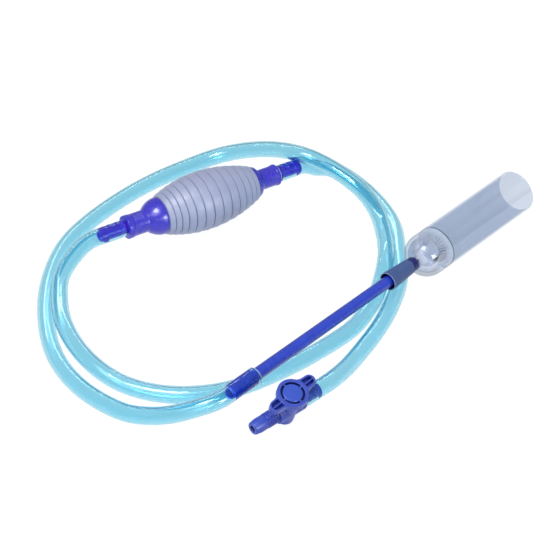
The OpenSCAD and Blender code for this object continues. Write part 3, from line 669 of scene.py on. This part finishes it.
def strainer_ribs():
    """Thin radial ribs that stand on the cone's upper side, one between each two slots; they carry painted shade,
    strongest towards +Y.
    """
    # Radius, height over the cone and half of the width, round the rib's side
    side_view = ((8, -0.3, 0.22), (8, 0.35, 0.18), (9, 1.1, 0.15), (13.4, 1.1, 0.15), (14.4, 0.35, 0.18),
                 (14.4, -0.3, 0.22))
    slope = CONE_RISE / (CONE_FOOT - CONE_HUB)
    verts, faces, marks = [], [], []
    for k in range(SLOTS):
        a = 2 * math.pi * (k + 0.5) / SLOTS
        out = Vector((math.cos(a), math.sin(a), 0))
        across = Vector((-math.sin(a), math.cos(a), 0))
        near = [len(verts) + 2 * i for i in range(len(side_view))]
        for r, up, half in side_view:
            height = Vector((0, 0, STRAINER_SEAT - CONE_RISE + (r - CONE_HUB) * slope - up))
            verts += [out * r - across * half + height, out * r + across * half + height]
        faces += [(i, i + 1, j + 1, j) for i, j in zip(near, near[1:] + near[:1])]
        faces += [tuple(near), tuple(i + 1 for i in near[::-1])]
        # Painted shade on the ribs, stronger towards +Y
        marks += [max(0.0, out.y) ** 0.5] * 2 * len(side_view)
    obj = piece("strainer_ribs", verts, faces, STRAINER, "head", WAND, 30)
    shade(obj, marks)


strainer()
strainer_ribs()

# --- Priming bulb -------------------------------------------------------------------------------
BULB_R, BULB_END, WIDEST = 28.7, 54.0, -6.0
INLET_R, OUTLET_R, RIB_STEP, RIBS = 19.3, 15.3, 1.0, 13


def bulb_radius(s):
    if s < WIDEST:
        return BULB_R - (BULB_R - INLET_R) * ((WIDEST - s) / (WIDEST + BULB_END)) ** 2
    return BULB_R - (BULB_R - OUTLET_R) * ((s - WIDEST) / (BULB_END - WIDEST)) ** 2


def rib_edge(k):
    """Where rib k starts: the ribs are widest at the bulb's middle."""
    t = k / (RIBS + 1)
    return BULB_END * (2 * t - 1 - 0.105 * math.sin(2 * math.pi * t))


def fitting_radius(s):
    """The bulb's radius at the foot of its ribs, which the outlet fitting carries on."""
    return bulb_radius(s) - RIB_STEP * 0.6


SHELL_END = rib_edge(RIBS)
BULB_WALL, LIP = 3.6, 8
outline, shades = [], []
# Each rib is a shingle with a narrow groove at its foot: share of the width, drop and painted shade of the groove
SHINGLE = ((0.0, 1.5, 1.0), (0.05, 1.35, 0.9), (0.10, 0.8, 0.35), (0.2, 0.55, 0.05), (0.5, 0.3, 0),
           (0.75, 0.1, 0), (0.88, 0.0, 0), (0.95, 0.12, 0.2), (0.985, 0.7, 0.8))
for k in range(RIBS):
    s, width = rib_edge(k), rib_edge(k + 1) - rib_edge(k)
    for share, drop, dark in SHINGLE:
        outline.append((bulb_radius(s + width * share) - RIB_STEP * drop, s + width * share))
        shades.append((s + width * share, dark))
outline.append((fitting_radius(SHELL_END), SHELL_END))
cavity = [(bulb_radius(s) - BULB_WALL, s) for s in np.linspace(SHELL_END - LIP, -BULB_END + LIP, 13)]
bulb = lathe("bulb", outline + [(13, SHELL_END), (13, SHELL_END - LIP)] + cavity
             + [(16.4, -BULB_END + LIP), (16.4, -BULB_END)],
             BULB, BULB_SKIN, "hose_line", 160, 0.12, "bulb_shell", 60)
at = [(INTO_BULB @ v.co).z for v in bulb.data.vertices]
# Painted shade in the grooves at the ribs' feet
shade(bulb, np.interp(at, [s for s, _ in shades], [dark for _, dark in shades]))


def barb(tip, root):
    """Three ridges that bite into the hose, from the tip to the root."""
    way = 1 if root > tip else -1
    step = abs(root - tip) / 4
    out = [(5.0, tip), (6.05, tip + way * 0.9)]
    for k, ridge in enumerate((6.3, 6.15, 6.15)):
        out += [(ridge, tip + way * (k + 0.9) * step), (ridge, tip + way * (k + 0.98) * step),
                (5.8, tip + way * ((k + 0.98) * step + 0.4))]
    return out + [(5.9, tip + way * 3.6 * step), (5.9, root)]


def press_up(obj, matrix, start=None):
    """Sets the barb against the top of the hose's bore, so that hose and barb touch there."""
    into = matrix.inverted()
    for v in obj.data.vertices:
        if start is None or (into @ v.co).z > start:
            v.co.z += 0.25 * MM


# Both fittings share the bore and the chamber that holds a check valve
FLOW_R, CHAMBER_R = 3.6, 7.5
INLET_NECK, INLET_TIP, INLET_FACE = 10.9, -121, -92.6
CONE_LENGTH, CONE_TOP = 17, INLET_R - RIB_STEP
OUTLET_NECK, OUTLET_TIP, OUTLET_FACE = 10.0, 104.4, 77.8
BARB_GAP = 0.15    # the barbs are pieces of their own, just clear of the fittings

inlet_barb = lathe("inlet_barb", [(FLOW_R, INLET_TIP)] + barb(INLET_TIP, INLET_FACE - BARB_GAP)
                   + [(FLOW_R, INLET_FACE - BARB_GAP)], BULB, BARB_VIOLET, "hose_line")
press_up(inlet_barb, BULB)
flange = [(11.1, INLET_FACE), (11.5, INLET_FACE + 0.4), (11.5, INLET_FACE + 5), (11.0, -86.8),
          (INLET_NECK + 0.05, -86.2)]
cone = [(INLET_NECK + (CONE_TOP - INLET_NECK) * (1 - (1 - k / 16) ** 2.2),
         -BULB_END - CONE_LENGTH - 0.2 + CONE_LENGTH * k / 16) for k in range(17)]
spigot = [(16.35, -BULB_END - 0.2), (16.35, -51), (14.85, -51), (14.85, -49), (16.35, -49), (16.35, -46.4)]
lathe("bulb_inlet", [(FLOW_R, INLET_FACE)] + flange + cone + spigot
      + [(CHAMBER_R, -46.4), (CHAMBER_R, -88.6), (FLOW_R, -88.6)],
      BULB, VIOLET, "hose_line", 128, 0.35, "inlet_fitting")

BARS, FIRST_BAR, BAR_STEP = 6, -84.6, 1.75
BAR_MIDDLE, BAR_REACH, BAR_LIFT, BAR_RINGS = 17, 20, 0.42, 25


def grip_bar(number, at):
    """A low bar round part of the inlet fitting's neck, sloped down at both ends."""
    verts = []
    for turn in np.linspace(-BAR_REACH, BAR_REACH, BAR_RINGS):
        a = math.radians(BAR_MIDDLE + turn)
        lift = BAR_LIFT * min(1.0, (BAR_REACH - abs(turn)) / 5)
        for z, h in ((at - 0.45, -0.3), (at - 0.2, lift), (at + 0.2, lift), (at + 0.45, -0.3)):
            verts.append(((INLET_NECK + h) * math.cos(a), (INLET_NECK + h) * math.sin(a), z))
    faces = [(4 * i + q, 4 * i + (q + 1) % 4, 4 * i + 4 + (q + 1) % 4, 4 * i + 4 + q)
             for i in range(BAR_RINGS - 1) for q in range(4)]
    last = 4 * (BAR_RINGS - 1)
    faces += [(0, 1, 2, 3), (last, last + 1, last + 2, last + 3)]
    # The paler violet is a painted highlight on the bars
    piece("grip_bar_%d" % number, verts, faces, VIOLET_RIDGE_GLINT, "hose_line", BULB, 30)


for k in range(BARS):
    grip_bar(k + 1, FIRST_BAR + k * BAR_STEP)

outlet_barb = lathe("outlet_barb", barb(OUTLET_TIP, OUTLET_FACE + BARB_GAP)[::-1]
                    + [(FLOW_R, OUTLET_TIP), (FLOW_R, OUTLET_FACE + BARB_GAP)],
                    BULB, BARB_VIOLET, "hose_line")
press_up(outlet_barb, BULB)
spigot = [(12.95, SHELL_END - 7.6), (12.95, SHELL_END - 5), (11.45, SHELL_END - 5), (11.45, SHELL_END - 3),
          (12.95, SHELL_END - 3), (12.95, SHELL_END + 0.2)]
flare = [(fitting_radius(s), s) for s in np.linspace(SHELL_END + 0.2, BULB_END, 7)]
FLARE_R = fitting_radius(BULB_END)
turn_in = [(FLARE_R - (FLARE_R - OUTLET_NECK) * math.sin(math.radians(9 * k)), BULB_END + 0.5 * k)
           for k in range(1, 11)]
flange = [(10.6, OUTLET_FACE - 2.6), (10.6, OUTLET_FACE - 0.4), (10.2, OUTLET_FACE)]
lathe("bulb_outlet", [(CHAMBER_R, SHELL_END - 7.6)] + spigot + flare + turn_in
      + [(OUTLET_NECK, OUTLET_FACE - 3)] + flange
      + [(FLOW_R, OUTLET_FACE), (FLOW_R, OUTLET_FACE - 3), (CHAMBER_R, OUTLET_FACE - 3)],
      BULB, VIOLET, "hose_line", 128, 0.35, "outlet_fitting")

# A pale ring at each hose's cut end: a painted highlight where the cut end catches the light
HOSE_ENDS = (("wand_hose_cut", WAND, 0.0), ("outlet_hose_cut", BULB, OUTLET_FACE + 1.6),
             ("valve_hose_cut", BORE, 16.4))
for name, matrix, at in HOSE_ENDS:
    lathe(name, [(6.3, at - 0.3), (8.1, at - 0.3), (8.1, at + 0.15), (6.3, at + 0.15)],
          matrix, CUT_END_GLINT, "hose_line", 64, 0)


# --- Shut-off valve -----------------------------------------------------------------------------
NOSE_TIP, NOSE_RIBS, RIB_PITCH = -39, 5, 2.2


def valve_body():
    """The barrel with its boss for the stem and its ribbed, tapered nose."""
    barrel = solid("barrel", [(0, -13), (8.9, -13), (8.9, 13), (0, 13)], 96, ALONG_X)
    boss = solid("boss", [(0, -14), (8.0, -14), (9.2, -12.8), (9.2, 16.6), (0, 16.6)], 96)
    root = solid("root", [(0, -18), (6.2, -18), (6.2, 0), (0, 0)], 96, ALONG_X)
    body = moulded(combine(barrel, [boss, root], "UNION"), 0.35, 6)
    ribs = []
    for k in range(NOSE_RIBS):
        s = -25.4 + k * RIB_PITCH
        ribs += [(6.15, s), (6.15, s + 0.8), (7.1, s + 1.05), (7.1, s + 1.7)]
    taper = [(0, NOSE_TIP), (5.3, NOSE_TIP), (5.9, NOSE_TIP + 0.6), (6.8, -33), (6.8, -26)]
    nose = solid("nose", rounded(taper + ribs + [(6.2, -14.5), (6.2, -10), (0, -10)], 0.35), 96, ALONG_X)
    body = combine(body, [nose], "UNION")
    bore = solid("bore", [(0, NOSE_TIP - 6), (3.3, NOSE_TIP - 6), (3.3, NOSE_TIP + 0.5), (2.9, NOSE_TIP + 1),
                          (2.9, -5), (0, -5)], 64, ALONG_X)
    hollow = solid("hollow", [(0, -8.5), (7.2, -8.5), (7.2, 20), (0, 20)], 64, ALONG_X)
    shaft = solid("shaft", [(0, 0), (3.45, 0), (3.45, 20), (0, 20)], 64)
    mesh = released(combine(body, [bore, hollow, shaft], "DIFFERENCE"))
    mesh.transform(VALVE)
    obj = finish_piece("valve_housing", mesh, VALVE_BLUE, "hose_line", 40)
    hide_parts("valve_body")


HUB_R, WING_ROOT, WING_TIP, HALF_LENGTH = 14.0, 6.8, 5.4, 26.5
HANDLE_LOW, HANDLE_TOP, POCKET_FLOOR, RIB_TOP = 19.4, 25.6, 20.8, 24.3
RIB = 1.5


def wing_outline(margin, steps=18):
    """One wing in plan: it leaves the hub in a curve, tapers, and ends in a round tip."""
    tip_x = HALF_LENGTH - WING_TIP
    upper = []
    for k in range(13):
        x = 8 + (tip_x - 8) * k / 12
        flare = 2.2 * math.exp(-max(0.0, x - 11.5) / 1.8) if not margin else 0.0
        upper.append((x, WING_ROOT + (WING_TIP - WING_ROOT) * x / tip_x + flare - margin))
    tip = [(tip_x + (WING_TIP - margin) * math.cos(math.radians(90 - 180 * k / steps)),
            (WING_TIP - margin) * math.sin(math.radians(90 - 180 * k / steps))) for k in range(1, steps)]
    lower = [(x, -y) for x, y in reversed(upper)]
    return [(0, upper[0][1])] + upper + tip + lower + [(0, -upper[0][1])]


def handle():
    """The hub with two wings. Each wing has two pockets with a rib between them."""
    circle = [(HUB_R * math.cos(2 * math.pi * k / 128), HUB_R * math.sin(2 * math.pi * k / 128))
              for k in range(128)]
    base = prism("hub", circle, HANDLE_LOW, HANDLE_TOP)
    near, far = HUB_R + 0.4, HALF_LENGTH - 1.75
    inside = [q for q in wing_outline(1.6) if q[0] > near]
    edge = max(y for x, y in inside)
    inside = [(near, edge)] + inside + [(near, -edge)]
    upper = [q for q in inside if q[1] > RIB / 2] + [(far, RIB / 2), (near, RIB / 2)]
    lower = [q for q in inside if q[1] < -RIB / 2] + [(near, -RIB / 2), (far, -RIB / 2)]
    rib_top = [(near, -1.2), (far, -1.2), (far, 1.2), (near, 1.2)]
    wings, cuts = [], []
    for side in (0, 180):
        turn = Matrix.Rotation(math.radians(side), 4, "Z")
        wings.append(prism("wing", wing_outline(0), HANDLE_LOW, HANDLE_TOP, turn))
        for plan, floor_at in ((lower, POCKET_FLOOR), (upper, POCKET_FLOOR), (rib_top, RIB_TOP)):
            cuts.append(prism("pocket", plan, floor_at, HANDLE_TOP + 5, turn))
    grip = combine(base, wings, "UNION")
    cuts.append(solid("recess", [(0, 22), (10.9, 22), (10.9, 40), (0, 40)], 96))
    cuts.append(solid("under", [(8.5, 10), (12, 10), (12, 20.4), (8.5, 20.4)], 96))
    grip = moulded(combine(grip, cuts, "DIFFERENCE"), 0.26, 3)
    square = prism("square", [(-2.35, -2.35), (2.35, -2.35), (2.35, 2.35), (-2.35, 2.35)], 10, 30)
    mesh = released(combine(grip, [square], "DIFFERENCE"))
    mesh.transform(HANDLE)
    obj = finish_piece("handle", mesh, HANDLE_BLUE, "handle", 40)
    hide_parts("valve_handle")


def end_piece():
    """The plug that closes the barrel and carries the barb for the hose."""
    tip, face = 36, 15.8
    plug = [(3.5, 8.5), (7.15, 8.5), (7.15, 13.1), (8.6, 13.1), (8.9, 13.4), (8.9, face - 0.4), (8.5, face)]
    end = lathe("valve_inlet", plug + barb(tip, face)[::-1] + [(3.6, tip), (3.6, 16), (3.5, 14)],
                BORE, VALVE_BLUE, "hose_line", 96, 0.3, "valve_end_piece")
    press_up(end, BORE, 16)


valve_body()
end_piece()
handle()
lathe("cap", [(4.2, 22.05), (9.1, 22.05), (9.1, 24.8), (8.5, 25.4), (0, 25.75), (0, 23.7), (4.2, 23.7)],
      HANDLE, CAP_BLUE, "handle", 96, 0.5, "handle_cap")
# A near black ring on the floor of the recess round the cap: painted shade in the gap
lathe("cap_groove", [(9.0, 22.05), (10.87, 22.05), (10.87, 22.5), (9.0, 22.5)],
      HANDLE, SHADE_NAVY, "handle", edge=0)
# A near black lining in the nose's bore: painted shade
lathe("nose_bore_shade", [(2.8, NOSE_TIP + 0.8), (3.2, NOSE_TIP + 0.8), (2.88, NOSE_TIP + 1.1), (2.88, -20),
                      (2.8, -20)], BORE, SHADE_NAVY, "hose_line", 64, 0)
for k in range(4):
    # The thin bridges that hold the cap in its recess
    plan = [(8.9, -0.75), (11.1, -0.75), (11.1, 0.75), (8.9, 0.75)]
    mesh = released(prism("bridge", plan, 22.4, 24.9, Matrix.Rotation(math.radians(90 * k), 4, "Z")))
    mesh.transform(HANDLE)
    finish_piece("cap_bridge_%d" % (k + 1), mesh, HANDLE_BLUE, "handle", 30)

# --- Stage, light and camera --------------------------------------------------------------------
bpy.ops.mesh.primitive_plane_add(size=12, location=(0, 0, -0.0002))
floor = bpy.context.object
floor.name = "floor"
# A pale floor that glows a little, so that it stays even in tone
paper = Maker("paper")
bounce = paper.add("ShaderNodeLightPath").outputs["Is Diffuse Ray"]
glow = paper.add("ShaderNodeEmission", {"Color": (1, 1, 1, 1), "Strength": paper.span(bounce, 0.95, 0.42)})
matte = paper.add("ShaderNodeBsdfDiffuse", {"Color": (0.12, 0.12, 0.12, 1)})
both = paper.add("ShaderNodeAddShader", {0: glow.outputs[0], 1: matte.outputs[0]})
floor.data.materials.append(paper.done(both.outputs[0]))

# The room is white, and brighter towards the ceiling
world = bpy.data.worlds.new("studio")
bpy.context.scene.world = world
world.use_nodes = True
room = world.node_tree
back = room.nodes["Background"]
where = room.nodes.new("ShaderNodeTexCoord")
split = room.nodes.new("ShaderNodeSeparateXYZ")
ramp = room.nodes.new("ShaderNodeMapRange")
room.links.new(where.outputs["Generated"], split.inputs[0])
room.links.new(split.outputs[2], ramp.inputs["Value"])
ramp.inputs["To Min"].default_value = 0.35
ramp.inputs["To Max"].default_value = 0.62
room.links.new(ramp.outputs[0], back.inputs["Strength"])
back.inputs["Color"].default_value = (1, 1, 1, 1)


def softbox(name, way, distance, width, height, power, lights=False):
    """A square light; unless it lights, it is only seen in reflections."""
    data = bpy.data.lights.new(name, "AREA")
    data.shape = "RECTANGLE"
    data.size = width
    data.size_y = height
    data.energy = power
    obj = bpy.data.objects.new(name, data)
    bpy.context.scene.collection.objects.link(obj)
    way = Vector(way).normalized()
    obj.location = way * distance
    obj.rotation_mode = "QUATERNION"
    obj.rotation_quaternion = way.to_track_quat("Z", "Y")
    obj.visible_diffuse = lights
    return obj


softbox("key", (-0.24, -0.32, 0.92), 1.6, 0.6, 0.6, 20)
softbox("front", (0.62, -0.72, 0.31), 1.8, 0.6, 0.6, 22)
strip = softbox("back", (-0.25, 0.80, 0.62), 2.0, 1.8, 0.11, 6)
softbox("fill", (-0.3, -0.5, 0.9), 2.0, 1.4, 1.4, 18, True)
softbox("low", (0.1, -1.0, 0.3), 2.0, 1.6, 0.6, 4, True)
# The strip behind the part is there for the hoses' long highlights alone
glossy = bpy.data.collections.new("hoses")
for h in HOSES:
    glossy.objects.link(h)
strip.light_linking.receiver_collection = glossy

TARGET = Vector((-0.01514, 0.02709, 0.0))
PITCH = math.radians(38)
DISTANCE = 2.162
SENSOR = 36
camera_data = bpy.data.cameras.new("camera")
camera_data.sensor_width = SENSOR
camera_data.lens = SENSOR * 46 / 11
camera_data.clip_end = 50
camera = bpy.data.objects.new("camera", camera_data)
bpy.context.scene.collection.objects.link(camera)
camera.location = TARGET + DISTANCE * Vector((0, -math.cos(PITCH), math.sin(PITCH)))
camera.rotation_euler = (math.radians(90) - PITCH, 0, 0)
scene = bpy.context.scene
scene.camera = camera
scene.view_settings.view_transform = "Standard"
scene.cycles.max_bounces = 24
scene.cycles.transmission_bounces = 24
scene.cycles.transparent_max_bounces = 32
scene.cycles.glossy_bounces = 6
